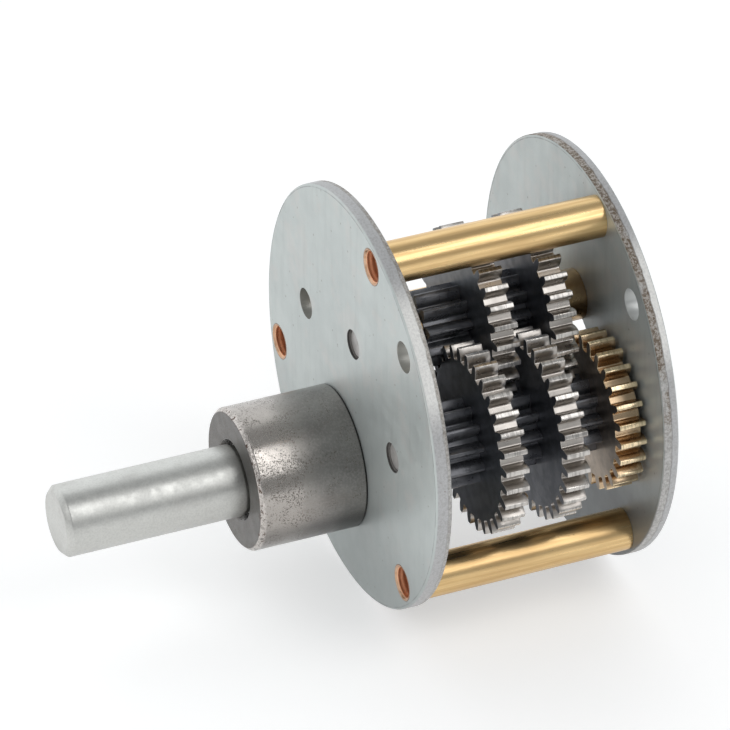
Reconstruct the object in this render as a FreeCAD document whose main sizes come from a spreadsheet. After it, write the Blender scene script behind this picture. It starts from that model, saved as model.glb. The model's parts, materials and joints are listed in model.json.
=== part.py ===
import FreeCAD, Part
import os
from math import acos, cos, pi, radians, sin, sqrt, tan

import Sketcher

# An open 37 mm class reduction gearbox with an offset output shaft: two round plates on three
# pillars, five compound spur gears running on two fixed pins, and an output shaft in a long bush.
#
# Frame: millimetres, Z up.  Every axis runs along Y and the output shaft points to -Y.  The origin
# is the centre of the front plate's outer face.  Angles are measured in the XZ plane from X towards
# Z, in the gearbox's own upright position (one pillar at the top, output at the bottom), and
# roll_angle then leans the whole set the way it lies on its two round plates.

DIMENSIONS = [
    ("roll_angle", -16.2, "lean of the whole set about its long axis, degrees"),
    ("plate_radius", 17.65, "both round plates"),
    ("plate_thickness", 1.35, "both round plates"),
    ("plate_gap", 18.36, "clear distance between the plates"),
    ("rim_round", 0.25, "rounding of the plates' rims on the punched side"),
    ("rim_burr_chamfer", 0.08, "break of the plates' rims on the other side"),
    ("pilot_radius", 4.1, "motor pilot hole in the back plate"),
    ("spare_hole_radius", 1.3, "empty holes left in the plates"),
    ("front_spare_distance", 9.96, "empty hole in the front plate, from the centre"),
    ("front_spare_angle", 175.6, "empty hole in the front plate, degrees"),
    ("locating_distance", 15.11, "locating hole in both plates, from the centre"),
    ("locating_angle", 60.0, "locating hole in both plates, degrees"),
    ("pillar_count", 3, "pillars between the plates"),
    ("pillar_circle_radius", 15.63, "pillar axes from the centre"),
    ("pillar_angle", 90.0, "first pillar, degrees"),
    ("pillar_radius", 1.75, "pillar body"),
    ("pillar_neck_radius", 1.55, "pillar end riveted in a plate"),
    ("pillar_thread_radius", 1.25, "M3 tapping bore right through each pillar"),
    ("pillar_mouth_flare", 0.2, "countersink at the pillar bore's mouths"),
    ("gear_module", 0.5, "module of every gear"),
    ("pressure_angle", 20.0, "pressure angle of all teeth, degrees"),
    ("train_pinion_teeth", 10, "teeth of the four train pinions and of the motor's pinion"),
    ("steel_wheel_teeth", 30, "teeth of the four steel wheels"),
    ("brass_wheel_teeth", 25, "teeth of the brass wheel that the motor drives"),
    ("output_pinion_teeth", 12, "teeth of the pinion that drives the output wheel"),
    ("output_wheel_teeth", 39, "teeth of the output wheel"),
    ("train_shift", 0.45, "profile shift of the train's pinions, taken back on its wheels, in modules"),
    ("output_shift", 0.3, "the same for the output pair"),
    ("pinion_addendum", 0.9, "tooth height of the pinions above the pitch circle, in modules"),
    ("wheel_addendum", 1.0, "tooth height of the wheels above the pitch circle, in modules"),
    ("dedendum", 1.25, "tooth depth below the pitch circle, in modules"),
    ("root_fillet", 0.3, "radius between flank and root of a tooth, in modules"),
    ("tooth_thinning", 0.04, "taken off each tooth's thickness for backlash"),
    ("lower_pin_angle", 13.5, "lower gear pin seen from the centre, degrees"),
    ("upper_pin_bearing", 159.9, "upper gear pin seen from the lower one, degrees"),
    ("output_bearing", -132.7, "output shaft seen from the lower gear pin, degrees"),
    ("pin_radius", 1.25, "both gear pins"),
    ("pin_recess", 0.3, "depth of the pin ends below the plates' outer faces"),
    ("pin_chamfer", 0.15, "chamfer of the pin ends"),
    ("running_gap", 0.03, "radial clearance of every running fit"),
    ("end_float", 0.05, "axial clearance beside every moving piece"),
    ("shim_thickness", 0.25, "washers between the gears"),
    ("shim_radius", 2.1, "washers between the gears"),
    ("spacer_radius", 2.15, "brass spacers on the upper pin"),
    ("wheel_width", 2.0, "face width of the steel wheels"),
    ("first_wheel_width", 2.25, "face width of the brass wheel"),
    ("fifth_wheel_station", 6.54, "front face of the wheel nearest the front plate"),
    ("fourth_wheel_station", 9.26, "front face of the upper pin's first wheel"),
    ("third_wheel_station", 11.82, "front face of the lower pin's middle wheel"),
    ("second_wheel_station", 14.39, "front face of the upper pin's second wheel"),
    ("first_wheel_station", 17.09, "front face of the brass wheel"),
    ("pinion_lead", 1.1, "how far the fourth pinion stands in front of the wheel it drives"),
    ("wheel_seat_radius", 1.85, "plain end of a pinion, pressed into its wheel"),
    ("output_wheel_width", 3.1, "face width of the output wheel"),
    ("output_hub_radius", 4.2, "hub behind the output wheel"),
    ("output_hub_length", 1.4, "hub behind the output wheel"),
    ("thrust_washer_thickness", 0.3, "between the output wheel and the front bush"),
    ("thrust_washer_radius", 5.2, "between the output wheel and the front bush"),
    ("boss_radius", 6.0, "front bush outside the plate"),
    ("boss_length", 9.3, "front bush outside the plate"),
    ("boss_chamfer", 0.3, "front edge of the front bush"),
    ("boss_spigot_radius", 4.6, "front bush inside the plate"),
    ("boss_mouth_radius", 3.45, "flared mouth of the front bush"),
    ("boss_mouth_depth", 0.6, "flared mouth of the front bush"),
    ("shaft_radius", 3.0, "output shaft"),
    ("shaft_reach", 15.4, "output shaft beyond the front bush"),
    ("shaft_chamfer", 0.45, "free end of the output shaft"),
    ("shaft_groove_width", 0.8, "oil groove in the output shaft, just inside the front bush"),
    ("shaft_groove_radius", 2.8, "oil groove in the output shaft, just inside the front bush"),
    ("shaft_waist_radius", 2.5, "output shaft behind its wheel"),
    ("shaft_pivot_radius", 1.75, "rear pivot of the output shaft"),
    ("rear_bush_radius", 2.6, "rear bush inside the plate"),
    ("rear_flange_radius", 3.1, "flange of the rear bush"),
    ("rear_flange_thickness", 0.5, "flange of the rear bush"),
]

# Own-frame angle of one tooth's centre on each wheel, in degrees, as the train stands at rest.
# The pinions' tooth positions follow from the wheels that they mesh with.
WHEEL_PHASES = {
    "first_wheel": 78.3,
    "second_wheel": 76.1,
    "third_wheel": 88.3,
    "fourth_wheel": 77.2,
    "fifth_wheel": 86.0,
    "output_wheel": 0.0,
}

# Teeth, tooth height and profile shift of each kind of gear, and the sign of the shift.
GEARS = {
    "train_pinion": ("train_pinion_teeth", "pinion_addendum", "train_shift", 1),
    "steel_wheel": ("steel_wheel_teeth", "wheel_addendum", "train_shift", -1),
    "brass_wheel": ("brass_wheel_teeth", "wheel_addendum", "train_shift", -1),
    "output_pinion": ("output_pinion_teeth", "pinion_addendum", "output_shift", 1),
    "output_wheel": ("output_wheel_teeth", "wheel_addendum", "output_shift", -1),
}
# Kind and face width of each stage's wheel, and kind of its pinion.
STAGES = {
    "first": ("brass_wheel", "Dims.first_wheel_width", "train_pinion"),
    "second": ("steel_wheel", "Dims.wheel_width", "train_pinion"),
    "third": ("steel_wheel", "Dims.wheel_width", "train_pinion"),
    "fourth": ("steel_wheel", "Dims.wheel_width", "train_pinion"),
    "fifth": ("steel_wheel", "Dims.wheel_width", "output_pinion"),
}

FLANK_POINTS = 5         # points along one involute flank
OVERCUT = 1.08           # how far a tooth gap's cutter reaches past the tip circle

doc = FreeCAD.newDocument("offset_gearbox")
sheet = doc.addObject("Spreadsheet::Sheet", "Dims")
for row, (alias, number, note) in enumerate(DIMENSIONS, start=1):
    sheet.set(f"A{row}", alias)
    sheet.set(f"B{row}", str(number))
    sheet.setAlias(f"B{row}", alias)
    sheet.set(f"C{row}", note)
doc.recompute()


def size(alias):
    """A driving dimension as a number."""
    return float(sheet.get(alias))


def own(alias):
    """An own-frame angle turned into the leaning frame, in degrees."""
    return size(alias) + size("roll_angle")


def polar(radius, angle):
    """X and Z expressions of a point given by its radius and own-frame angle from the centre."""
    turn = f"(({angle} + Dims.roll_angle) * 1deg)"
    return f"{radius} * cos{turn}", f"{radius} * sin{turn}"


def step(start, centres, bearing):
    """X and Z expressions of a point given by its distance and bearing from another point."""
    across, up = polar(centres, bearing)
    return f"{start[0]} + {across}", f"{start[1]} + {up}"


INPUT_CENTRES = "(Dims.gear_module * (Dims.train_pinion_teeth + Dims.brass_wheel_teeth) / 2)"
TRAIN_CENTRES = "(Dims.gear_module * (Dims.train_pinion_teeth + Dims.steel_wheel_teeth) / 2)"
OUTPUT_CENTRES = "(Dims.gear_module * (Dims.output_pinion_teeth + Dims.output_wheel_teeth) / 2)"

CENTRE = ("0", "0")
LOWER_PIN = polar(INPUT_CENTRES, "Dims.lower_pin_angle")
UPPER_PIN = step(LOWER_PIN, TRAIN_CENTRES, "Dims.upper_pin_bearing")
OUTPUT = step(LOWER_PIN, OUTPUT_CENTRES, "Dims.output_bearing")
PILLARS = {
    "top_pillar": 0,
    "left_pillar": 120,
    "right_pillar": 240,
}

BACK_INNER = "(Dims.plate_thickness + Dims.plate_gap)"
BACK_OUTER = "(2 * Dims.plate_thickness + Dims.plate_gap)"
FLOAT = "Dims.end_float"
SHIM = "Dims.shim_thickness"
WHEEL_STATION = {name: f"Dims.{name}_wheel_station" for name in STAGES}
PINION_START = {
    "fifth": f"(Dims.plate_thickness + {SHIM} + {FLOAT})",
    "fourth": f"({WHEEL_STATION['fifth']} - Dims.pinion_lead)",
    "third": f"({WHEEL_STATION['fifth']} + Dims.wheel_width + {SHIM} + 2 * {FLOAT})",
    "second": f"({WHEEL_STATION['fourth']} + Dims.wheel_width + {SHIM} + 2 * {FLOAT})",
    "first": f"({WHEEL_STATION['third']} + Dims.wheel_width + {SHIM} + 2 * {FLOAT})",
}
OUTPUT_WHEEL_STATION = f"(Dims.plate_thickness + Dims.thrust_washer_thickness + {FLOAT})"


def origin_feature(body, role):
    """One of a body's own origin planes or axes."""
    for feature in body.Origin.OriginFeatures:
        if feature.Role == role:
            return feature
    raise ValueError(role)


def new_body(label, axis, station):
    """A body whose Y axis is one of the gearbox's axes and whose zero is at a station along it."""
    body = doc.addObject("PartDesign::Body", "Body_" + label)
    body.Label = label
    body.setExpression("Placement.Base.x", axis[0])
    body.setExpression("Placement.Base.y", station)
    body.setExpression("Placement.Base.z", axis[1])
    return body


def new_sketch(body, name, plane, lift="0", turn=0.0):
    """A sketch on one of the body's planes.  On the XZ plane it is lifted along Y and turned."""
    sketch = body.newObject("Sketcher::SketchObject", name)
    sketch.AttachmentSupport = [(origin_feature(body, plane), "")]
    sketch.MapMode = "FlatFace"
    sketch.AttachmentOffset = FreeCAD.Placement(
        FreeCAD.Vector(0, 0, 0), FreeCAD.Rotation(FreeCAD.Vector(0, 0, 1), turn))
    if lift != "0":
        sketch.setExpression("AttachmentOffset.Base.z", f"-({lift})")
    return sketch


def add_circle(sketch, radius, centre=CENTRE):
    """A circle whose radius, and centre if it isn't the origin, are bound to the sheet."""
    index = sketch.addGeometry(Part.Circle(FreeCAD.Vector(0, 0, 0), FreeCAD.Vector(0, 0, 1), 1.0))
    at_radius = sketch.addConstraint(Sketcher.Constraint("Radius", index, 1.0))
    sketch.setExpression(f"Constraints[{at_radius}]", radius)
    if centre == CENTRE:
        sketch.addConstraint(Sketcher.Constraint("Coincident", index, 3, -1, 1))
        return
    for kind, expression in zip(("DistanceX", "DistanceY"), centre):
        at_place = sketch.addConstraint(Sketcher.Constraint(kind, -1, 1, index, 3, 1.0))
        sketch.setExpression(f"Constraints[{at_place}]", expression)


def add_pad(body, sketch, length):
    """Raise a sketch that lies on the XZ plane towards +Y."""
    pad = body.newObject("PartDesign::Pad", sketch.Name + "_pad")
    pad.Profile = sketch
    pad.Reversed = True
    pad.setExpression("Length", length)
    body.Tip = pad
    doc.recompute()
    return pad


def add_cut(body, sketch):
    """Cut a sketch right through the body, both ways, and make sure that it cut."""
    before = body.Shape.Volume
    pocket = body.newObject("PartDesign::Pocket", sketch.Name + "_cut")
    pocket.Profile = sketch
    pocket.Type = "ThroughAll"
    pocket.Midplane = True
    body.Tip = pocket
    doc.recompute()
    if body.Shape.Volume > before - 1e-6:
        raise RuntimeError(f"{sketch.Name} cuts nothing from {body.Label}")
    return pocket


def add_polar(body, feature, count):
    """Repeat a feature round the body's Y axis."""
    pattern = body.newObject("PartDesign::PolarPattern", feature.Name + "_pattern")
    pattern.Originals = [feature]
    pattern.Axis = (origin_feature(body, "Y_Axis"), [""])
    pattern.Angle = 360.0
    pattern.setExpression("Occurrences", count)
    body.Tip = pattern
    doc.recompute()
    return pattern


def rim_edges(feature, radius, station):
    """Names of a feature's whole-circle edges of one radius at one station of the body's own Y."""
    names = []
    for number, edge in enumerate(feature.Shape.Edges, start=1):
        curve = edge.Curve
        if not isinstance(curve, Part.Circle):
            continue
        if abs(curve.Radius - radius) < 1e-4 and abs(curve.Center.y - station) < 1e-4:
            names.append(f"Edge{number}")
    return names


def dress_rim(body, kind, name, radius, station, amount):
    """A chamfer or fillet on one circular edge."""
    base = body.Tip
    feature = body.newObject("PartDesign::" + kind, name)
    feature.Base = (base, rim_edges(base, radius, station))
    feature.setExpression("Radius" if kind == "Fillet" else "Size", amount)
    body.Tip = feature
    doc.recompute()
    return feature


def ring(label, axis, station, outer, inner, length):
    """A washer, spacer or other plain tube."""
    body = new_body(label, axis, station)
    sketch = new_sketch(body, label + "_section", "XZ_Plane")
    add_circle(sketch, outer)
    add_circle(sketch, inner)
    add_pad(body, sketch, length)
    return body


def turned(label, axis, station, outline):
    """A turned piece.  The outline lists radius and distance along the axis, as expressions."""
    body = new_body(label, axis, station)
    sketch = new_sketch(body, label + "_profile", "XY_Plane")
    count = len(outline)
    corners = [FreeCAD.Vector(1 + index, 1 + index * index, 0) for index in range(count)]
    for index in range(count):
        sketch.addGeometry(Part.LineSegment(corners[index], corners[(index + 1) % count]))
    for index in range(count):
        sketch.addConstraint(Sketcher.Constraint("Coincident", index, 2, (index + 1) % count, 1))
    for index, place in enumerate(outline):
        for kind, wall, expression in zip(("DistanceX", "DistanceY"), (-2, -1), place):
            if expression == "0":
                sketch.addConstraint(Sketcher.Constraint("PointOnObject", index, 1, wall))
                continue
            at_place = sketch.addConstraint(Sketcher.Constraint(kind, -1, 1, index, 1, 1.0))
            sketch.setExpression(f"Constraints[{at_place}]", expression)
    doc.recompute()
    turn = body.newObject("PartDesign::Revolution", label + "_turning")
    turn.Profile = sketch
    turn.ReferenceAxis = (sketch, ["V_Axis"])
    turn.Angle = 360.0
    body.Tip = turn
    doc.recompute()
    return body


def involute(angle):
    return tan(angle) - angle


def tooth_gap(sketch, kind):
    """Outline of one tooth gap, centred on the sketch's X axis: two involute flanks that run into the
    root through round fillets, closed by a straight line outside the tip circle."""
    teeth_alias, addendum_alias, shift_alias, sign = GEARS[kind]
    module = size("gear_module")
    teeth = size(teeth_alias)
    shift = sign * size(shift_alias)
    pressure = radians(size("pressure_angle"))
    pitch_radius = module * teeth / 2
    base_radius = pitch_radius * cos(pressure)
    tip_radius = pitch_radius + (size(addendum_alias) + shift) * module
    root_radius = pitch_radius - (size("dedendum") - shift) * module
    fillet = size("root_fillet") * module
    flank_start = max(base_radius, root_radius + fillet)
    half_tooth = (pi / 2 + 2 * shift * tan(pressure)) / teeth
    half_tooth -= size("tooth_thinning") / (2 * pitch_radius)

    def half_gap(radius):
        roll = acos(min(1.0, base_radius / radius))
        return pi / teeth - half_tooth - involute(pressure) + involute(roll)

    def point(radius, angle):
        return FreeCAD.Vector(radius * cos(angle), radius * sin(angle), 0)

    outer_radius = tip_radius * OVERCUT
    fillet_end = half_gap(flank_start) - fillet / root_radius
    fillet_middle = half_gap(flank_start) - 0.3 * fillet / root_radius
    radii = [flank_start + (tip_radius - flank_start) * index / (FLANK_POINTS - 1)
             for index in range(FLANK_POINTS)]
    edges = []
    for side in (-1, 1):
        edge_angle = side * half_gap(tip_radius)
        edges.append(Part.LineSegment(point(tip_radius, edge_angle), point(outer_radius, edge_angle)))
        flank = Part.BSplineCurve()
        flank.interpolate([point(radius, side * half_gap(radius)) for radius in radii])
        edges.append(flank)
        if flank_start > root_radius + fillet:
            edges.append(Part.LineSegment(point(flank_start, side * half_gap(flank_start)),
                                          point(root_radius + fillet, side * half_gap(flank_start))))
        edges.append(Part.Arc(point(root_radius + fillet, side * half_gap(flank_start)),
                              point(root_radius + 0.3 * fillet, side * fillet_middle),
                              point(root_radius, side * fillet_end)))
    edges.append(Part.Arc(point(root_radius, -fillet_end), point(root_radius, 0),
                          point(root_radius, fillet_end)))
    edges.append(Part.LineSegment(point(outer_radius, -half_gap(tip_radius)),
                                  point(outer_radius, half_gap(tip_radius))))
    sketch.addGeometry(edges)


def toothed(body, kind, width, phase):
    """A ring of teeth in a new body: a blank with its tooth gaps cut all round."""
    teeth, addendum, shift, sign = GEARS[kind]
    blank = new_sketch(body, body.Label + "_blank", "XZ_Plane")
    add_circle(blank, f"Dims.gear_module * (Dims.{teeth} / 2 + Dims.{addendum} + {sign} * Dims.{shift})")
    add_pad(body, blank, width)
    half_pitch = 180 / size(teeth)
    gap = new_sketch(body, body.Label + "_gap", "XZ_Plane", turn=phase + half_pitch)
    tooth_gap(gap, kind)
    cut = add_cut(body, gap)
    add_polar(body, cut, "Dims." + teeth)


def add_bore(body, name, radius):
    sketch = new_sketch(body, name, "XZ_Plane")
    add_circle(sketch, radius)
    add_cut(body, sketch)


def add_hub(body, name, radius, lift, length):
    """A plain round end raised from a station of the body."""
    sketch = new_sketch(body, name, "XZ_Plane", lift=lift)
    add_circle(sketch, radius)
    add_pad(body, sketch, length)


def mesh_phase(driver, driver_phase, driven, bearing):
    """Angle of a tooth's centre on a gear that meshes with another, seen along a bearing."""
    turned_teeth = (bearing - driver_phase) * size(GEARS[driver][0])
    return bearing + 180 + (turned_teeth - 180) / size(GEARS[driven][0])


def plate(label, station, holes, punched_side):
    """One of the two round plates.  Holes is a list of radius and centre expressions."""
    body = new_body(label, CENTRE, station)
    disc = new_sketch(body, label + "_disc", "XZ_Plane")
    add_circle(disc, "Dims.plate_radius")
    add_pad(body, disc, "Dims.plate_thickness")
    radius = size("plate_radius")
    faces = (0.0, size("plate_thickness"))
    dress_rim(body, "Fillet", label + "_punched_rim", radius, faces[punched_side], "Dims.rim_round")
    dress_rim(body, "Chamfer", label + "_burr_rim", radius, faces[1 - punched_side],
              "Dims.rim_burr_chamfer")
    pillar_hole = new_sketch(body, label + "_pillar_hole", "XZ_Plane")
    add_circle(pillar_hole, "Dims.pillar_neck_radius",
               polar("Dims.pillar_circle_radius", "Dims.pillar_angle"))
    add_polar(body, add_cut(body, pillar_hole), "Dims.pillar_count")
    axis_holes = new_sketch(body, label + "_axis_holes", "XZ_Plane")
    for hole_radius, centre in holes:
        add_circle(axis_holes, hole_radius, centre)
    add_cut(body, axis_holes)
    return body


def pillar(label, offset):
    """A turned pillar with a neck riveted in each plate and a tapped bore right through."""
    axis = polar("Dims.pillar_circle_radius", f"Dims.pillar_angle + {offset}")
    full = BACK_OUTER
    shoulder = "Dims.plate_thickness"
    bore = "Dims.pillar_thread_radius"
    flare = "Dims.pillar_mouth_flare"
    mouth = f"({bore} + {flare})"
    return turned(label, axis, "0", [
        (mouth, "0"),
        ("Dims.pillar_neck_radius", "0"),
        ("Dims.pillar_neck_radius", shoulder),
        ("Dims.pillar_radius", shoulder),
        ("Dims.pillar_radius", f"{full} - {shoulder}"),
        ("Dims.pillar_neck_radius", f"{full} - {shoulder}"),
        ("Dims.pillar_neck_radius", full),
        (mouth, full),
        (bore, f"{full} - {flare}"),
        (bore, flare),
    ])


def gear_pin(label, axis):
    """A fixed pin pressed into both plates, a little below their outer faces."""
    length = f"({BACK_OUTER} - 2 * Dims.pin_recess)"
    chamfer = "Dims.pin_chamfer"
    return turned(label, axis, "Dims.pin_recess", [
        ("0", "0"),
        (f"Dims.pin_radius - {chamfer}", "0"),
        ("Dims.pin_radius", chamfer),
        ("Dims.pin_radius", f"{length} - {chamfer}"),
        (f"Dims.pin_radius - {chamfer}", length),
        ("0", length),
    ])


def pinion(order, axis, phase):
    """A pinion with a plain end that carries its wheel, bored to run on a gear pin."""
    label = order + "_pinion"
    body = new_body(label, axis, PINION_START[order])
    wheel_kind, wheel_width, kind = STAGES[order]
    toothed_length = f"({WHEEL_STATION[order]} - {PINION_START[order]})"
    toothed(body, kind, toothed_length, phase)
    add_hub(body, label + "_seat", "Dims.wheel_seat_radius", toothed_length, wheel_width)
    add_bore(body, label + "_bore", "Dims.pin_radius + Dims.running_gap")
    return body


def wheel(order, axis, phase):
    """A wheel pressed on the plain end of its pinion."""
    label = order + "_wheel"
    body = new_body(label, axis, WHEEL_STATION[order])
    kind, width, pinion_kind = STAGES[order]
    toothed(body, kind, width, phase)
    add_bore(body, label + "_bore", "Dims.wheel_seat_radius")
    return body


# The frame: two plates, three pillars, two gear pins and the two bushes.
front_holes = [
    ("Dims.boss_spigot_radius", OUTPUT),
    ("Dims.pin_radius", LOWER_PIN),
    ("Dims.pin_radius", UPPER_PIN),
    ("Dims.spare_hole_radius", polar("Dims.front_spare_distance", "Dims.front_spare_angle")),
    ("Dims.spare_hole_radius", polar("Dims.locating_distance", "Dims.locating_angle")),
]
back_holes = [
    ("Dims.pilot_radius", CENTRE),
    ("Dims.rear_bush_radius", OUTPUT),
    ("Dims.pin_radius", LOWER_PIN),
    ("Dims.pin_radius", UPPER_PIN),
    ("Dims.spare_hole_radius", polar("Dims.locating_distance", "Dims.locating_angle")),
]
pieces = [
    plate("front_plate", "0", front_holes, punched_side=0),
    plate("back_plate", BACK_INNER, back_holes, punched_side=1),
    gear_pin("lower_gear_pin", LOWER_PIN),
    gear_pin("upper_gear_pin", UPPER_PIN),
]
for label, offset in PILLARS.items():
    pieces.append(pillar(label, offset))

boss_full = "(Dims.boss_length + Dims.plate_thickness)"
shaft_bore = "(Dims.shaft_radius + Dims.running_gap)"
pieces.append(turned("front_bush", OUTPUT, "-Dims.boss_length", [
    ("Dims.boss_mouth_radius", "0"),
    ("Dims.boss_radius - Dims.boss_chamfer", "0"),
    ("Dims.boss_radius", "Dims.boss_chamfer"),
    ("Dims.boss_radius", "Dims.boss_length"),
    ("Dims.boss_spigot_radius", "Dims.boss_length"),
    ("Dims.boss_spigot_radius", boss_full),
    (shaft_bore, boss_full),
    (shaft_bore, "Dims.boss_mouth_depth"),
]))

pivot_bore = "(Dims.shaft_pivot_radius + Dims.running_gap)"
rear_full = "(Dims.rear_flange_thickness + Dims.plate_thickness)"
pieces.append(turned("rear_bush", OUTPUT, f"{BACK_INNER} - Dims.rear_flange_thickness", [
    (pivot_bore, "0"),
    ("Dims.rear_flange_radius", "0"),
    ("Dims.rear_flange_radius", "Dims.rear_flange_thickness"),
    ("Dims.rear_bush_radius", "Dims.rear_flange_thickness"),
    ("Dims.rear_bush_radius", rear_full),
    (pivot_bore, rear_full),
]))

# Washers and spacers that keep the gears apart.  They sit on the pins and don't turn.
pieces.append(ring("output_thrust_washer", OUTPUT, "Dims.plate_thickness",
                   "Dims.thrust_washer_radius", shaft_bore, "Dims.thrust_washer_thickness"))
pieces.append(ring("lower_front_shim", LOWER_PIN, "Dims.plate_thickness",
                   "Dims.shim_radius", "Dims.pin_radius", SHIM))
for label, axis, behind in (("lower_middle_shim", LOWER_PIN, "fifth"),
                            ("lower_rear_shim", LOWER_PIN, "third"),
                            ("upper_shim", UPPER_PIN, "fourth")):
    shim_station = f"{WHEEL_STATION[behind]} + Dims.wheel_width + {FLOAT}"
    pieces.append(ring(label, axis, shim_station, "Dims.shim_radius", "Dims.pin_radius", SHIM))
back_shim_station = f"({WHEEL_STATION['first']} + Dims.first_wheel_width + {FLOAT})"
pieces.append(ring("lower_back_shim", LOWER_PIN, back_shim_station, "Dims.shim_radius",
                   "Dims.pin_radius", f"{BACK_INNER} - {back_shim_station}"))
pieces.append(ring("upper_front_spacer", UPPER_PIN, "Dims.plate_thickness", "Dims.spacer_radius",
                   "Dims.pin_radius", f"{PINION_START['fourth']} - {FLOAT} - Dims.plate_thickness"))
rear_spacer_station = f"({WHEEL_STATION['second']} + Dims.wheel_width + {FLOAT})"
pieces.append(ring("upper_rear_spacer", UPPER_PIN, rear_spacer_station, "Dims.spacer_radius",
                   "Dims.pin_radius", f"{BACK_INNER} - {rear_spacer_station}"))

# The gears.  Each wheel's teeth stand at their stated phase, and each pinion's at the phase that
# meshes with the wheel it drives.
phases = {name: angle + size("roll_angle") for name, angle in WHEEL_PHASES.items()}
up = own("upper_pin_bearing")
down = up + 180
to_lower_pin = own("output_bearing") + 180
phases["fifth_pinion"] = mesh_phase("output_wheel", phases["output_wheel"], "output_pinion",
                                    to_lower_pin)
for driving, driven, bearing in (("fourth", "fifth", up), ("third", "fourth", down),
                                 ("second", "third", up), ("first", "second", down)):
    phases[driving + "_pinion"] = mesh_phase("steel_wheel", phases[driven + "_wheel"],
                                             "train_pinion", bearing)
for order, axis in (("first", LOWER_PIN), ("second", UPPER_PIN), ("third", LOWER_PIN),
                    ("fourth", UPPER_PIN), ("fifth", LOWER_PIN)):
    pieces.append(pinion(order, axis, phases[order + "_pinion"]))
    pieces.append(wheel(order, axis, phases[order + "_wheel"]))

# The output wheel with its hub, and the stepped shaft that it is pressed on.
output_wheel = new_body("output_wheel", OUTPUT, OUTPUT_WHEEL_STATION)
toothed(output_wheel, "output_wheel", "Dims.output_wheel_width", phases["output_wheel"])
add_hub(output_wheel, "output_wheel_hub", "Dims.output_hub_radius", "Dims.output_wheel_width",
        "Dims.output_hub_length")
add_bore(output_wheel, "output_wheel_bore", "Dims.shaft_radius")
pieces.append(output_wheel)

shaft_start = "(Dims.boss_length + Dims.shaft_reach)"
seat_end = (f"({shaft_start} + {OUTPUT_WHEEL_STATION} + Dims.output_wheel_width"
            " + Dims.output_hub_length)")
waist_end = f"({shaft_start} + {BACK_INNER} - Dims.rear_flange_thickness - {FLOAT})"
pivot_end = f"({shaft_start} + {BACK_OUTER} - {FLOAT})"
pieces.append(turned("output_shaft", OUTPUT, f"-{shaft_start}", [
    ("0", "0"),
    ("Dims.shaft_radius - Dims.shaft_chamfer", "0"),
    ("Dims.shaft_radius", "Dims.shaft_chamfer"),
    ("Dims.shaft_radius", "Dims.shaft_reach"),
    ("Dims.shaft_groove_radius", "Dims.shaft_reach"),
    ("Dims.shaft_groove_radius", "(Dims.shaft_reach + Dims.shaft_groove_width)"),
    ("Dims.shaft_radius", "(Dims.shaft_reach + Dims.shaft_groove_width)"),
    ("Dims.shaft_radius", seat_end),
    ("Dims.shaft_waist_radius", seat_end),
    ("Dims.shaft_waist_radius", waist_end),
    ("Dims.shaft_pivot_radius", waist_end),
    ("Dims.shaft_pivot_radius", pivot_end),
    ("0", pivot_end),
]))

doc.recompute()
for item in doc.Objects:
    if "Invalid" in item.State or "Error" in item.State:
        raise RuntimeError(f"{item.Label} did not recompute: {item.State}")

os.makedirs("parts", exist_ok=True)
for piece in pieces:
    shape = piece.Shape
    if shape.isNull() or not shape.isValid() or len(shape.Solids) != 1:
        raise RuntimeError(f"{piece.Label} has no valid solid")
    shape.exportStep(f"parts/{piece.Label}.step")
    box = shape.BoundBox
    print(f"{piece.Label}: {shape.Volume:.2f} mm3, Y {box.YMin:.2f} to {box.YMax:.2f}")
print(len(pieces), "pieces")
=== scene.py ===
import json
from math import cos, pi, radians, sin

import bmesh
import bpy
from mathutils import Matrix, Vector


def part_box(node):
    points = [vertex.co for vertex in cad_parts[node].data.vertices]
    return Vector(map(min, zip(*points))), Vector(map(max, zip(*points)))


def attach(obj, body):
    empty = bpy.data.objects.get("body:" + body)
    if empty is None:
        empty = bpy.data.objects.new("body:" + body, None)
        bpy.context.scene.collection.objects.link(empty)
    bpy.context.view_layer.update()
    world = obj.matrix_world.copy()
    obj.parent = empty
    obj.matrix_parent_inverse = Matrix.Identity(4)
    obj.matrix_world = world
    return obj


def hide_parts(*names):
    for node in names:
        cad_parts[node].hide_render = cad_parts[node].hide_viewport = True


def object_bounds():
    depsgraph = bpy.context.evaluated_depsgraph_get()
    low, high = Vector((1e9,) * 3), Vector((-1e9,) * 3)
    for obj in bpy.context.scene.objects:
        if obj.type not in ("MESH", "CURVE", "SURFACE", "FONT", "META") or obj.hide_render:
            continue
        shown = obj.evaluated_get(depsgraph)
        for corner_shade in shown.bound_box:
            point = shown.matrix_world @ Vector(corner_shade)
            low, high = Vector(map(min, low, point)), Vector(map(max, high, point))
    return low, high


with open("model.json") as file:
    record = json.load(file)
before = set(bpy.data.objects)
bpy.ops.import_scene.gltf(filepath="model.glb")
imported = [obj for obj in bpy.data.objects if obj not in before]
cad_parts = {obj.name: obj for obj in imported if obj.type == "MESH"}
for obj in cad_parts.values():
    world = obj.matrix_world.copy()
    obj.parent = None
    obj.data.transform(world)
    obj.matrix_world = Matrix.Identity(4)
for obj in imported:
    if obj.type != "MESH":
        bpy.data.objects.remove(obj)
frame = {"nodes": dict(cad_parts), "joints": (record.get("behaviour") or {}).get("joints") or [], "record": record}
cad_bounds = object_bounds()
MM = 0.001
nodes = frame["nodes"]
scene = bpy.context.scene

# ---------------------------------------------------------------------------------------------
# Places: every axis runs along Y, so a place is an X and a Z, read from the frame.
# ---------------------------------------------------------------------------------------------

JOINT_PLACE = {joint["child"]: Vector(joint["pos_m"]) for joint in frame["joints"]}
BODY_OF = {node: body for body, members in frame["record"]["behaviour"]["bodies"].items()
           for node in members}
OUTPUT = JOINT_PLACE["output"]
LOWER_PIN = JOINT_PLACE["first_cluster"]
UPPER_PIN = JOINT_PLACE["second_cluster"]
CENTRE = Vector((0, 0, 0))
THREAD_PITCH = 0.5


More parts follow.
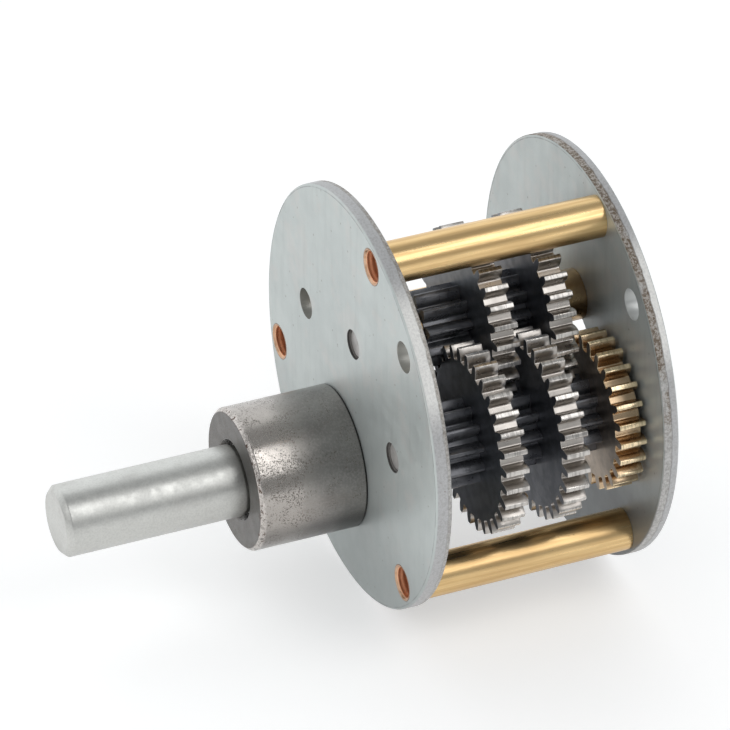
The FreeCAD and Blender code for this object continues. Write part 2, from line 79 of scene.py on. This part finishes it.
def centre_of(node):
    low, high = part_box(node)
    return (low + high) / 2


def span_of(node):
    """First and last station of a node along Y."""
    low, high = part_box(node)
    return low.y, high.y


# ---------------------------------------------------------------------------------------------
# Camera, lights and floor
# ---------------------------------------------------------------------------------------------

CAMERA_PLACE = Vector((0.3521, -0.14697, 0.25433))
CAMERA_AZIMUTH = 67.16
CAMERA_ELEVATION = 33.36
CAMERA_LENS = 279.8
FLOOR_GLOW = 0.46


def aim(thing, direction):
    thing.rotation_euler = direction.to_track_quat("-Z", "Y").to_euler()


def make_camera():
    azimuth = radians(CAMERA_AZIMUTH)
    elevation = radians(CAMERA_ELEVATION)
    data = bpy.data.cameras.new("camera")
    data.lens = CAMERA_LENS
    data.sensor_width = 36
    data.clip_start = 0.01
    data.clip_end = 20
    camera = bpy.data.objects.new("camera", data)
    scene.collection.objects.link(camera)
    camera.location = CAMERA_PLACE
    aim(camera, Vector((-sin(azimuth) * cos(elevation), cos(azimuth) * cos(elevation),
                        -sin(elevation))))
    scene.camera = camera


def area_light(name, place, target, width, height, glow):
    """A soft panel whose face is so bright, whatever its size."""
    data = bpy.data.lights.new(name, "AREA")
    data.shape = "RECTANGLE"
    data.size = width
    data.size_y = height
    data.energy = glow * pi * width * height
    light = bpy.data.objects.new(name, data)
    scene.collection.objects.link(light)
    light.location = place
    aim(light, Vector(target) - Vector(place))


def sky_ramp(tree, value, low, high, start, end):
    """A smooth step of the sky's brightness from start to end as the value goes from low to high."""
    node = tree.nodes.new("ShaderNodeMapRange")
    node.interpolation_type = "SMOOTHSTEP"
    tree.links.new(value, node.inputs["Value"])
    for name, number in (("From Min", low), ("From Max", high), ("To Min", start), ("To Max", end)):
        node.inputs[name].default_value = number
    return node.outputs["Result"]


def make_sky():
    """A room that is bright on the left, dimmer overhead and on the right, and white at floor level."""
    world = bpy.data.worlds.new("studio")
    scene.world = world
    world.use_nodes = True
    tree = world.node_tree
    coordinates = tree.nodes.new("ShaderNodeTexCoord")
    split = tree.nodes.new("ShaderNodeSeparateXYZ")
    tree.links.new(coordinates.outputs["Generated"], split.inputs[0])
    level = tree.nodes.new("ShaderNodeMath")
    level.operation = "ABSOLUTE"
    tree.links.new(split.outputs["Z"], level.inputs[0])
    brighter = tree.nodes.new("ShaderNodeMath")
    brighter.operation = "MAXIMUM"
    tree.links.new(sky_ramp(tree, split.outputs["X"], -0.62, -0.22, 1.25, 0.42), brighter.inputs[0])
    tree.links.new(sky_ramp(tree, level.outputs[0], 0.025, 0.045, 1.0, 0.0), brighter.inputs[1])
    background = tree.nodes["Background"]
    background.inputs["Color"].default_value = (0.96, 0.985, 1.0, 1)
    tree.links.new(brighter.outputs[0], background.inputs["Strength"])


def make_studio():
    make_sky()
    area_light("key", (0.35, 0.20, 0.44), (0, 0.005, 0), 0.20, 0.46, 2.5)
    area_light("front", (0.12, -0.62, 0.40), (0, 0, 0), 0.40, 0.40, 1.1)
    bpy.ops.mesh.primitive_plane_add(size=12, location=(0, 0, cad_bounds[0][2]))
    floor = bpy.context.object
    floor.name = "floor"
    paint = Paint("floor_paper")
    grain = paint.noise(0.05, 3, shift=3.0)
    paint.set("Base Color", paint.mix(grain, (0.74, 0.74, 0.74), (0.77, 0.77, 0.77)))
    paint.set("Roughness", 0.9)
    paint.set("Emission Color", (1, 1, 1, 1))
    paint.set("Emission Strength", FLOOR_GLOW)
    floor.data.materials.append(paint.material)


# ---------------------------------------------------------------------------------------------
# Finishes: node materials in millimetres of the object's own space
# ---------------------------------------------------------------------------------------------

class Paint:
    """A material's node tree, with short calls for the nodes that the finishes share."""

    def __init__(self, name):
        self.material = bpy.data.materials.new(name)
        self.material.use_nodes = True
        self.tree = self.material.node_tree
        self.shader = self.tree.nodes["Principled BSDF"]
        coordinates = self.tree.nodes.new("ShaderNodeTexCoord")
        self.normal = coordinates.outputs["Normal"]
        self.place = self.vector("MULTIPLY", coordinates.outputs["Object"], (1 / MM,) * 3)

    def feed(self, socket, value):
        if isinstance(value, bpy.types.NodeSocket):
            self.tree.links.new(value, socket)
        else:
            socket.default_value = value

    def set(self, socket, value):
        self.feed(self.shader.inputs[socket], value)

    def vector(self, operation, first, second):
        node = self.tree.nodes.new("ShaderNodeVectorMath")
        node.operation = operation
        self.feed(node.inputs[0], first)
        self.feed(node.inputs[1], second)
        return node.outputs["Value" if operation in ("LENGTH", "DOT_PRODUCT") else "Vector"]

    def math(self, operation, first, second=0.0, clamp=False):
        node = self.tree.nodes.new("ShaderNodeMath")
        node.operation = operation
        node.use_clamp = clamp
        self.feed(node.inputs[0], first)
        self.feed(node.inputs[1], second)
        return node.outputs[0]

    def noise(self, scale, detail=4.0, stretch=(1, 1, 1), roughness=0.55, shift=0.0, twist=0.0):
        """Noise with so many features a millimetre, drawn out along an axis by a low stretch."""
        place = self.vector("MULTIPLY", self.place, stretch)
        if shift:
            place = self.vector("ADD", place, (shift,) * 3)
        node = self.tree.nodes.new("ShaderNodeTexNoise")
        self.feed(node.inputs["Vector"], place)
        node.inputs["Scale"].default_value = scale
        node.inputs["Detail"].default_value = detail
        node.inputs["Roughness"].default_value = roughness
        node.inputs["Distortion"].default_value = twist
        return node.outputs["Fac"]

    def cells(self, scale, shift=0.0):
        """Distance to the nearest of scattered points, from 0 at a point."""
        node = self.tree.nodes.new("ShaderNodeTexVoronoi")
        self.feed(node.inputs["Vector"], self.vector("ADD", self.place, (shift,) * 3))
        node.inputs["Scale"].default_value = scale
        return node.outputs["Distance"]

    def ramp(self, value, low, high, start=0.0, end=1.0):
        """A smooth step from start to end as the value goes from low to high."""
        node = self.tree.nodes.new("ShaderNodeMapRange")
        node.interpolation_type = "SMOOTHSTEP"
        self.feed(node.inputs["Value"], value)
        for name, number in (("From Min", low), ("From Max", high), ("To Min", start),
                             ("To Max", end)):
            node.inputs[name].default_value = number
        return node.outputs["Result"]

    def mix(self, share, first, second):
        """One colour turning into another."""
        node = self.tree.nodes.new("ShaderNodeMix")
        node.data_type = "RGBA"
        self.feed(node.inputs["Factor"], share)
        sockets = [socket for socket in node.inputs if socket.type == "RGBA"]
        for socket, value in zip(sockets, (first, second)):
            self.feed(socket, value if isinstance(value, bpy.types.NodeSocket) else (*value, 1))
        return [socket for socket in node.outputs if socket.type == "RGBA"][0]

    def edges(self, radius):
        """1 on a sharp edge, falling to 0 within a radius in millimetres."""
        bevel = self.tree.nodes.new("ShaderNodeBevel")
        bevel.samples = 4
        bevel.inputs["Radius"].default_value = radius * MM
        geometry = self.tree.nodes.new("ShaderNodeNewGeometry")
        facing = self.vector("DOT_PRODUCT", bevel.outputs["Normal"], geometry.outputs["Normal"])
        return self.ramp(self.math("SUBTRACT", 1.0, facing), 0.01, 0.18)

    def radial(self, axis):
        """Distance from an axis along Y, in millimetres."""
        flat = self.vector("MULTIPLY", self.place, (1, 0, 1))
        away = self.vector("SUBTRACT", flat, (axis.x / MM, 0, axis.z / MM))
        return self.vector("LENGTH", away, (0, 0, 0))

    def station(self):
        return self.vector("DOT_PRODUCT", self.place, (0, 1, 0))

    def height(self, level=0.0):
        """Height above a level, both in millimetres."""
        return self.math("SUBTRACT", self.vector("DOT_PRODUCT", self.place, (0, 0, 1)), level)

    def sideways(self):
        """1 on a face that looks along Y, 0 on one that looks across it."""
        return self.ramp(self.math("ABSOLUTE", self.vector("DOT_PRODUCT", self.normal, (0, 1, 0))),
                         0.80, 0.97)

    def bump(self, height, depth, before=None):
        """Bump of a height map, so many millimetres deep, on top of an earlier one."""
        node = self.tree.nodes.new("ShaderNodeBump")
        node.inputs["Strength"].default_value = 1.0
        node.inputs["Distance"].default_value = depth * MM
        self.feed(node.inputs["Height"], height)
        if before is not None:
            self.feed(node.inputs["Normal"], before)
        return node.outputs["Normal"]


def zinc_plate(name, node, torn_side, tear, rust, foot, low_shade_colour, bare):
    """Zinc plated sheet, blue-grey, painted darker at a foot level and clearing upwards (painted shade), with bare
    steel in its holes, painted shade in the hole walls beside the pins and a painted shade line where the rim's
    rounding starts.  Its punched rim is smooth, then torn from a line so far past the middle, and rusty towards
    the top, with a painted glare band across its middle heights."""
    paint = Paint(name)
    low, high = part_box(node)
    blotch = paint.noise(0.16, 4, shift=3.1)
    grain = paint.noise(6.0, 3, shift=9.0)
    body = paint.mix(paint.ramp(blotch, 0.3, 0.7), (0.50, 0.54, 0.53), (0.56, 0.60, 0.585))
    body = paint.mix(paint.ramp(grain, 0.35, 0.75, 0, 0.25), body, (0.60, 0.63, 0.62))
    stain = paint.ramp(paint.noise(0.45, 5, shift=61.0), 0.50, 0.64, 0, 0.40)
    body = paint.mix(stain, body, (0.60, 0.582, 0.560))
    runs = paint.noise(1.1, 4, stretch=(1, 1, 0.12), shift=51.0)
    body = paint.mix(paint.ramp(runs, 0.45, 0.75, 0, 0.30), body, (0.40, 0.43, 0.42))
    # Painted shade: the sheet turns darker at the foot level and clears 13 mm higher.
    painted_low_shade = paint.ramp(paint.height(), foot, foot + 13, 0.88, 0.05)
    body = paint.mix(painted_low_shade, body, low_shade_colour)
    specks = paint.ramp(paint.cells(1.1, shift=21.0), 0.07, 0.13, 0.6, 0)
    sparse = paint.ramp(paint.noise(0.5, 3, shift=25.0), 0.50, 0.60)
    body = paint.mix(paint.math("MULTIPLY", specks, sparse), body, (0.20, 0.18, 0.16))
    radius = high.x / MM
    # Painted shade: a thin dark line where the rim's rounding starts, standing in for the shade of a sharp edge.
    edge_line_distance = paint.math("ABSOLUTE", paint.math("SUBTRACT", paint.radial(CENTRE), radius - 0.24))
    edge_line_shade = paint.ramp(edge_line_distance, 0.02, 0.06, 1, 0)
    edge_line_shade = paint.math("MULTIPLY", edge_line_shade, paint.ramp(paint.noise(0.9, 4, shift=57.0), 0.35, 0.6, 0.2, 0.8))
    body = paint.mix(edge_line_shade, body, (0.24, 0.25, 0.255))
    rim = paint.ramp(paint.radial(CENTRE), radius - 0.06, radius - 0.02)
    wall = paint.math("SUBTRACT", paint.math("SUBTRACT", 1.0, paint.sideways()), rim, clamp=True)
    wall = paint.math("MULTIPLY", wall, paint.ramp(paint.radial(CENTRE), radius - 0.40, radius - 0.30, 1, 0))
    # Painted shade: the hole walls beside the pins are dark near the face, as shade in the pins' recesses; the
    # other hole walls show bare steel.
    near_pin = paint.math("MULTIPLY", paint.ramp(paint.radial(LOWER_PIN), 1.35, 1.6),
                          paint.ramp(paint.radial(UPPER_PIN), 1.35, 1.6))
    pin_recess_shade = paint.mix(paint.ramp(paint.station(), 0.17, 0.24), (0.11, 0.105, 0.10), (0.36, 0.345, 0.33))
    body = paint.mix(wall, body, paint.mix(near_pin, pin_recess_shade, bare))
    line = torn_side * ((low.y + high.y) / 2 / MM + tear)
    wobble = paint.math("MULTIPLY", paint.noise(0.9, 5, shift=33.0), 0.30)
    depth = paint.math("MULTIPLY", paint.math("ADD", paint.station(), wobble), torn_side)
    torn = paint.ramp(depth, line - 0.05, line + 0.05)
    seam = paint.ramp(paint.math("ABSOLUTE", paint.math("SUBTRACT", depth, line)), 0.02, 0.08, 0.45 * rust,
                      0)
    fine_grain = paint.noise(5.5, 4, shift=5.0, roughness=0.7)
    smooth_metal = paint.mix(paint.ramp(fine_grain, 0.40, 0.68), (0.52, 0.52, 0.525), (0.42, 0.415, 0.415))
    coarse = paint.noise(4.2, 6, shift=13.0, roughness=0.75)
    torn_metal = paint.mix(paint.ramp(coarse, 0.40, 0.62), (0.56, 0.55, 0.54), (0.36, 0.35, 0.335))
    # Painted glare: a pale band across the rim between about 6 and 16 mm height, standing in for a light's
    # reflection; its metallic is lowered there too.
    rub_and_glare = paint.math("MULTIPLY", paint.ramp(paint.height(), 6.0, 9.5),
                        paint.ramp(paint.height(), 14.0, 16.0, 1, 0))
    rub_and_glare = paint.math("MULTIPLY", rub_and_glare, paint.ramp(fine_grain, 0.35, 0.65, 0.90, 0.65))
    smooth_metal = paint.mix(rub_and_glare, smooth_metal, (0.92, 0.91, 0.88))
    torn_metal = paint.mix(paint.math("MULTIPLY", rub_and_glare, 0.8 * (1 - rust)), torn_metal, (0.85, 0.82, 0.76))
    top = paint.ramp(paint.height(), 1.0, 6.0)
    zone = paint.math("MULTIPLY", top, paint.ramp(paint.noise(0.45, 3, shift=31.0), 0.32, 0.50))
    torn_metal = paint.mix(paint.math("MULTIPLY", zone, 0.8 * rust), torn_metal, (0.40, 0.36, 0.32))
    pitted = paint.math("MULTIPLY", paint.ramp(coarse, 0.45, 0.54), zone)
    torn_metal = paint.mix(paint.math("MULTIPLY", pitted, rust), torn_metal, (0.17, 0.13, 0.095))
    flecks = paint.ramp(paint.noise(2.6, 4, shift=45.0), 0.67, 0.73, 0, 0.6)
    smooth_metal = paint.mix(flecks, smooth_metal, (0.24, 0.19, 0.17))
    rim_colour = paint.mix(torn, smooth_metal, torn_metal)
    rim_colour = paint.mix(seam, rim_colour, (0.20, 0.19, 0.18))
    paint.set("Base Color", paint.mix(rim, body, rim_colour))
    matt = paint.math("MULTIPLY", paint.math("MULTIPLY", rub_and_glare, rim), 0.35)
    paint.set("Metallic", paint.math("SUBTRACT", 0.58, matt))
    shine = paint.ramp(paint.noise(0.8, 5, shift=17.0), 0.3, 0.7, 0.38, 0.46)
    paint.set("Roughness", paint.math("ADD", shine, paint.math("MULTIPLY", rim, 0.20)))
    fine = paint.bump(paint.noise(9.0, 3, shift=2.0), 0.0015)
    scratches = paint.ramp(paint.noise(2.2, 2, stretch=(0.10, 1, 1.6), shift=41.0), 0.70, 0.73)
    fine = paint.bump(scratches, -0.003, fine)
    fine = paint.bump(paint.math("MULTIPLY", fine_grain, rim), 0.012, fine)
    ragged = paint.math("MULTIPLY", coarse, paint.math("MULTIPLY", rim, torn))
    paint.set("Normal", paint.bump(ragged, 0.06, fine))
    return paint.material


def drawn_brass(name, axis, neck_radius, bore_radius):
    """Drawn brass rod with fine lengthwise streaks, painted darker on its underside as painted shade.  Its necks
    and tapped bores are copper-red, the bores painted a lighter copper as painted light inside them.
    """
    paint = Paint(name)
    streaks = paint.noise(3.2, 5, stretch=(1, 0.03, 1), shift=2.0, roughness=0.6)
    clouds = paint.noise(0.30, 4, stretch=(1, 0.4, 1), shift=6.0)
    colour = paint.mix(paint.ramp(streaks, 0.36, 0.66), (0.78, 0.56, 0.28), (0.64, 0.43, 0.20))
    colour = paint.mix(paint.ramp(clouds, 0.40, 0.75, 0, 0.5), colour, (0.58, 0.38, 0.18))
    stains = paint.ramp(paint.noise(2.4, 4, stretch=(1, 0.3, 1), shift=15.0), 0.69, 0.75, 0, 0.7)
    colour = paint.mix(stains, colour, (0.28, 0.17, 0.08))
    # Painted shade: the rod is darker on its underside.
    painted_underside_shade = paint.ramp(paint.height(axis.z / MM), -1.6, -0.2, 0.35, 0)
    colour = paint.mix(painted_underside_shade, colour, (0.45, 0.29, 0.12))
    distance = paint.radial(axis)
    neck = paint.ramp(distance, neck_radius + 0.03, neck_radius + 0.08, 1, 0)
    copper = paint.mix(paint.ramp(paint.noise(1.5, 3), 0.35, 0.65), (0.62, 0.42, 0.29),
                       (0.52, 0.30, 0.18))
    # Painted light: the bore is painted a lighter copper than the neck, so that the deep, dim bore reads as lit.
    inside = paint.ramp(distance, bore_radius + 0.02, bore_radius + 0.10, 1, 0)
    copper = paint.mix(inside, copper, (0.86, 0.50, 0.31))
    joint = paint.ramp(distance, neck_radius - 0.10, neck_radius - 0.02)
    copper = paint.mix(joint, copper, (0.24, 0.16, 0.11))
    colour = paint.mix(neck, colour, copper)
    paint.set("Base Color", colour)
    paint.set("Metallic", 1.0)
    satin = paint.ramp(streaks, 0.3, 0.7, 0.26, 0.36)
    paint.set("Roughness", paint.math("ADD", satin, paint.math("MULTIPLY", inside, 0.25)))
    turns = paint.math("SINE", paint.math("MULTIPLY", paint.station(), 2 * pi / THREAD_PITCH))
    thread = paint.bump(paint.math("MULTIPLY", turns, inside), 0.016)
    lines = paint.bump(paint.noise(9.0, 3, stretch=(1, 0.02, 1), shift=1.0), 0.0022, thread)
    lines = paint.bump(paint.noise(3.6, 5, stretch=(0.12, 1, 0.12), shift=27.0), 0.0060, lines)
    paint.set("Normal", paint.bump(paint.noise(3.0, 4, shift=4.0), 0.0025, lines))
    return paint.material


def sintered_iron(name):
    """Sintered iron bush: dark and oily with clustered brown pits, worn bright on its front edge; painted lighter
    towards its front end (painted reflection), with painted shade underneath, in the corner at the plate and in
    the mouth of its bore.
    """
    paint = Paint(name)
    face = paint.sideways()
    clouds = paint.noise(0.30, 5, shift=1.0)
    colour = paint.mix(paint.ramp(clouds, 0.35, 0.65), (0.235, 0.226, 0.217), (0.29, 0.28, 0.267))
    colour = paint.mix(paint.ramp(paint.noise(5.0, 4, shift=2.0), 0.42, 0.66, 0, 0.5), colour,
                       (0.36, 0.345, 0.325))
    low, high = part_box("front_bush")
    # Painted reflection: the boss turns lighter towards its front end, where it reflects the bright room rather
    # than the plate; more pits there too.
    lit_front_zone = paint.ramp(paint.station(), low.y / MM + 2.5, low.y / MM + 6.5, 0.8, 0)
    colour = paint.mix(lit_front_zone, colour, (0.45, 0.418, 0.388))
    # Painted shade: the boss is darker underneath, most towards the plate.
    painted_underside_shade = paint.ramp(paint.height(OUTPUT.z / MM), -2.6, -0.8, 0.8, 0)
    painted_underside_shade = paint.math("MULTIPLY", painted_underside_shade, paint.ramp(paint.station(), -7.0, -2.5, 0.60, 1.0))
    colour = paint.mix(painted_underside_shade, colour, (0.09, 0.088, 0.086))
    colour = paint.mix(face, colour, (0.16, 0.153, 0.146))
    # Painted shade: a near-black line where the boss meets the plate.
    corner_shade = paint.ramp(paint.station(), -0.22, -0.08)
    colour = paint.mix(corner_shade, colour, (0.02, 0.02, 0.02))
    many = paint.ramp(paint.noise(0.6, 3, shift=11.0), 0.40, 0.56, -0.05, 0.02)
    more = paint.math("MULTIPLY", lit_front_zone, 0.03)
    level = paint.math("ADD", paint.noise(7.5, 5, shift=7.0, roughness=0.72), paint.math("ADD", many, more))
    pits = paint.ramp(level, 0.57, 0.66, 0, 0.80)
    colour = paint.mix(pits, colour, (0.115, 0.085, 0.068))
    rind = paint.ramp(paint.radial(OUTPUT), high.z / MM - OUTPUT.z / MM - 0.8,
                      high.z / MM - OUTPUT.z / MM - 0.3)
    lip = paint.math("MULTIPLY", rind,
                     paint.ramp(paint.station(), low.y / MM + 0.25, low.y / MM + 0.60, 1, 0))
    # Only wear here: this noise sets where the front lip is rubbed bright and where it is burnt.
    rub_and_glare = paint.noise(1.8, 6, shift=9.0, roughness=0.75)
    worn = paint.math("MULTIPLY", lip, paint.ramp(rub_and_glare, 0.44, 0.50))
    worn = paint.math("MULTIPLY", worn, paint.math("SUBTRACT", 1.0, face))
    colour = paint.mix(worn, colour, (0.58, 0.54, 0.51))
    burnt = paint.math("MULTIPLY", lip, paint.ramp(rub_and_glare, 0.56, 0.60))
    colour = paint.mix(burnt, colour, (0.10, 0.065, 0.05))
    # Painted shade: dark in the mouth of the bore around the shaft.
    mouth_shade = paint.ramp(paint.radial(OUTPUT), 3.35, 3.55, 1, 0)
    colour = paint.mix(mouth_shade, colour, (0.06, 0.055, 0.05))
    paint.set("Base Color", colour)
    paint.set("Metallic", 0.95)
    shine = paint.ramp(paint.noise(1.0, 5, shift=3.0), 0.3, 0.7, 0.15, 0.24)
    shine = paint.math("ADD", shine, paint.ramp(paint.station(), -7.0, -4.0, 0, 0.16))
    paint.set("Roughness", paint.math("ADD", shine, paint.math("MULTIPLY", face, 0.20)))
    fine = paint.bump(paint.noise(7.0, 4, shift=5.0), 0.0022)
    paint.set("Normal", paint.bump(pits, -0.012, fine))
    return paint.material


def ground_steel(name):
    """Ground shaft: satin, with fine lines round it and a few stains, painted darker on its underside as painted
    shade.
    """
    paint = Paint(name)
    stains = paint.ramp(paint.noise(0.5, 5, stretch=(1, 0.5, 1), shift=4.0), 0.5, 0.72, 0, 0.5)
    colour = paint.mix(stains, (0.60, 0.60, 0.575), (0.49, 0.48, 0.46))
    colour = paint.mix(paint.ramp(paint.noise(6.0, 4, shift=12.0), 0.35, 0.7, 0, 0.3), colour,
                       (0.38, 0.38, 0.365))
    marks = paint.ramp(paint.noise(2.6, 4, stretch=(1, 0.4, 1), shift=19.0), 0.71, 0.76, 0, 0.6)
    colour = paint.mix(marks, colour, (0.25, 0.23, 0.21))
    # Painted shade: the shaft is darker on its underside.
    painted_underside_shade = paint.ramp(paint.height(OUTPUT.z / MM), -2.8, -0.6, 0.5, 0)
    colour = paint.mix(painted_underside_shade, colour, (0.40, 0.40, 0.385))
    worn = paint.edges(0.2)
    colour = paint.mix(paint.math("MULTIPLY", worn, 0.5), colour, (0.75, 0.75, 0.73))
    paint.set("Base Color", colour)
    paint.set("Metallic", 1.0)
    paint.set("Roughness", paint.ramp(paint.noise(1.2, 4, shift=6.0), 0.3, 0.7, 0.34, 0.44))
    rings = paint.bump(paint.noise(9.0, 3, stretch=(0.05, 1, 0.05), shift=3.0), 0.0015)
    paint.set("Normal", paint.bump(paint.noise(5.0, 4, shift=8.0), 0.0015, rings))
    return paint.material


def hobbed(name, axis, tip_radius, land, flank, face, roughness, phase):
    """A cut wheel: turned tip lands, hobbed flanks painted darker towards the root (painted shade in the tooth
    gaps), and plain faces.
    """
    paint = Paint(name)
    distance = paint.radial(axis)
    cut = paint.noise(2.4, 6, shift=phase, roughness=0.65)
    across = paint.noise(5.5, 3, stretch=(0.10, 1, 0.10), shift=phase + 4)
    dark_flank = tuple(0.86 * part for part in flank)
    tooth = paint.mix(paint.ramp(cut, 0.35, 0.68), flank, dark_flank)
    # Painted shade: the flanks darken towards the root, as shade in the tooth gaps.
    root_shade = paint.ramp(distance, tip_radius - 1.2, tip_radius - 0.5, 0.6, 0)
    tooth = paint.mix(root_shade, tooth, dark_flank)
    turned = paint.mix(paint.ramp(across, 0.45, 0.60), land, tuple(0.65 * part for part in land))
    tooth = paint.mix(paint.ramp(distance, tip_radius - 0.10, tip_radius - 0.04), tooth, turned)
    flat = paint.mix(paint.ramp(paint.noise(0.9, 5, shift=phase + 9), 0.35, 0.65), face,
                     tuple(1.4 * part for part in face))
    on_face = paint.sideways()
    colour = paint.mix(on_face, tooth, flat)
    worn = paint.math("MULTIPLY", paint.edges(0.07),
                      paint.ramp(paint.noise(1.5, 3, shift=phase + 6), 0.3, 0.6, 0.3, 0.9))
    colour = paint.mix(worn, colour, tuple(min(1.0, 1.3 * part) for part in land))
    paint.set("Base Color", colour)
    paint.set("Metallic", 1.0)
    wide = paint.noise(0.8, 4, shift=phase + 2)
    shine = paint.ramp(wide, 0.3, 0.7, roughness - 0.04, roughness + 0.04)
    paint.set("Roughness", paint.math("ADD", shine, paint.math("MULTIPLY", on_face, 0.10)))
    grooves = paint.bump(across, 0.0012)
    paint.set("Normal", paint.bump(wide, 0.0020, grooves))
    return paint.material


def black_oxide(name, phase):
    """Hardened pinion: blue-black, glossy with oil, rubbed a little on its edges."""
    paint = Paint(name)
    clouds = paint.noise(1.1, 4, shift=phase)
    colour = paint.mix(paint.ramp(clouds, 0.35, 0.65), (0.10, 0.102, 0.112), (0.15, 0.152, 0.163))
    worn = paint.math("MULTIPLY", paint.edges(0.08),
                      paint.ramp(paint.noise(2.0, 3, shift=phase + 3), 0.42, 0.62))
    colour = paint.mix(worn, colour, (0.30, 0.29, 0.28))
    paint.set("Base Color", colour)
    paint.set("Metallic", 0.6)
    paint.set("Roughness", paint.ramp(clouds, 0.3, 0.7, 0.25, 0.36))
    paint.set("Normal", paint.bump(paint.noise(5.0, 4, stretch=(1, 0.2, 1), shift=phase), 0.003))
    return paint.material


def plain_metal(name, light, dark, roughness, phase, dull_ends=0.0):
    """A small turned or stamped piece, whose end faces can be duller than the rest."""
    paint = Paint(name)
    clouds = paint.noise(0.9, 5, shift=phase)
    colour = paint.mix(paint.ramp(clouds, 0.35, 0.65), light, dark)
    worn = paint.math("MULTIPLY", paint.edges(0.1), 0.5)
    colour = paint.mix(worn, colour, tuple(min(1.0, 1.4 * part) for part in light))
    paint.set("Base Color", colour)
    paint.set("Metallic", 1.0)
    if dull_ends:
        paint.set("Metallic", paint.ramp(paint.sideways(), 0, 1, 1.0, 1.0 - dull_ends))
    paint.set("Roughness", paint.ramp(clouds, 0.3, 0.7, roughness - 0.07, roughness + 0.07))
    paint.set("Normal", paint.bump(paint.noise(6.0, 4, shift=phase + 5), 0.006))
    return paint.material


# ---------------------------------------------------------------------------------------------
# Pieces: each CAD node's own shape, cleaned and with its edges broken
# ---------------------------------------------------------------------------------------------

WELD = 1e-6
FLAT = radians(0.6)
SHARP = radians(26)


def refine(node, edge_break, material, segments=2):
    """A finished piece in place of a CAD node: the same solid with its sharp edges broken."""
    source = nodes[node]
    mesh = bpy.data.meshes.new(node + "_finished")
    work = bmesh.new()
    work.from_mesh(source.data)
    bmesh.ops.remove_doubles(work, verts=work.verts, dist=WELD)
    bmesh.ops.dissolve_limit(work, angle_limit=FLAT, verts=work.verts, edges=work.edges)
    sharp = [edge for edge in work.edges
             if len(edge.link_faces) == 2 and edge.calc_face_angle(0) > SHARP]
    bmesh.ops.bevel(work, geom=sharp, offset=edge_break * MM, offset_type="OFFSET",
                    segments=segments, profile=0.6, affect="EDGES", clamp_overlap=True,
                    harden_normals=False)
    for face in work.faces:
        face.smooth = True
    work.to_mesh(mesh)
    work.free()
    mesh.set_sharp_from_angle(angle=SHARP)
    mesh.materials.append(material)
    piece = bpy.data.objects.new(node + "_finished", mesh)
    scene.collection.objects.link(piece)
    weighted = piece.modifiers.new("weighted_normals", "WEIGHTED_NORMAL")
    weighted.weight = 100
    weighted.keep_sharp = True
    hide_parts(node)
    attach(piece, BODY_OF[node])
    return piece


make_camera()
make_studio()

# Each plate's foot level and low colour set its painted shade low down; the back plate's darker colour is painted
# shade under the wheels.
refine("front_plate", 0.05, zinc_plate("front_plate_zinc", "front_plate", 1, 0.48, 0.35, -14.0,
                                       (0.34, 0.37, 0.365), (0.42, 0.415, 0.385)))
refine("back_plate", 0.05, zinc_plate("back_plate_zinc", "back_plate", -1, 0.15, 1.0, -11.0,
                                      (0.18, 0.19, 0.20), (0.56, 0.57, 0.56)))
for node in ("top_pillar", "left_pillar", "right_pillar"):
    refine(node, 0.08, drawn_brass(node + "_brass", centre_of(node), 1.55, 1.25))
refine("front_bush", 0.10, sintered_iron("bush_iron"))
refine("rear_bush", 0.06, plain_metal("rear_bush_bronze", (0.42, 0.27, 0.14), (0.30, 0.20, 0.11), 0.4, 2.0))
refine("output_shaft", 0.06, ground_steel("shaft_steel"))


def tip_of(node):
    low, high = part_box(node)
    return (high.z - low.z) / 2 / MM


refine("output_wheel", 0.05, hobbed("output_wheel_steel", OUTPUT, tip_of("output_wheel"),
                                    (0.45, 0.44, 0.42), (0.36, 0.34, 0.32), (0.15, 0.15, 0.155), 0.36, 30.0))
for index, (order, axis) in enumerate((("second", UPPER_PIN), ("third", LOWER_PIN),
                                       ("fourth", UPPER_PIN), ("fifth", LOWER_PIN))):
    finish = hobbed(order + "_wheel_steel", axis, tip_of(order + "_wheel"), (0.58, 0.555, 0.525),
                    (0.46, 0.43, 0.40), (0.17, 0.178, 0.20), 0.30, 3.0 * index)
    refine(order + "_wheel", 0.04, finish)
refine("first_wheel", 0.04, hobbed("first_wheel_brass", LOWER_PIN, tip_of("first_wheel"),
                                   (0.88, 0.71, 0.47), (0.56, 0.41, 0.265), (0.36, 0.30, 0.245), 0.24,
                                   50.0))
for index, order in enumerate(("first", "second", "third", "fourth", "fifth")):
    refine(order + "_pinion", 0.04, black_oxide(order + "_pinion_oxide", 7.0 * index))
for node in nodes:
    if node.endswith("_shim") or node == "output_thrust_washer":
        refine(node, 0.03, plain_metal(node + "_steel", (0.50, 0.50, 0.49), (0.36, 0.35, 0.34), 0.35, 4.0))
    if node.endswith("_spacer"):
        refine(node, 0.05, plain_metal(node + "_brass", (0.40, 0.28, 0.15), (0.28, 0.19, 0.105), 0.33, 8.0))
    if node.endswith("_pin"):
        refine(node, 0.04, plain_metal(node + "_steel", (0.46, 0.44, 0.425), (0.34, 0.325, 0.31), 0.38, 6.0, 0.8))

scene.view_settings.view_transform = "Standard"
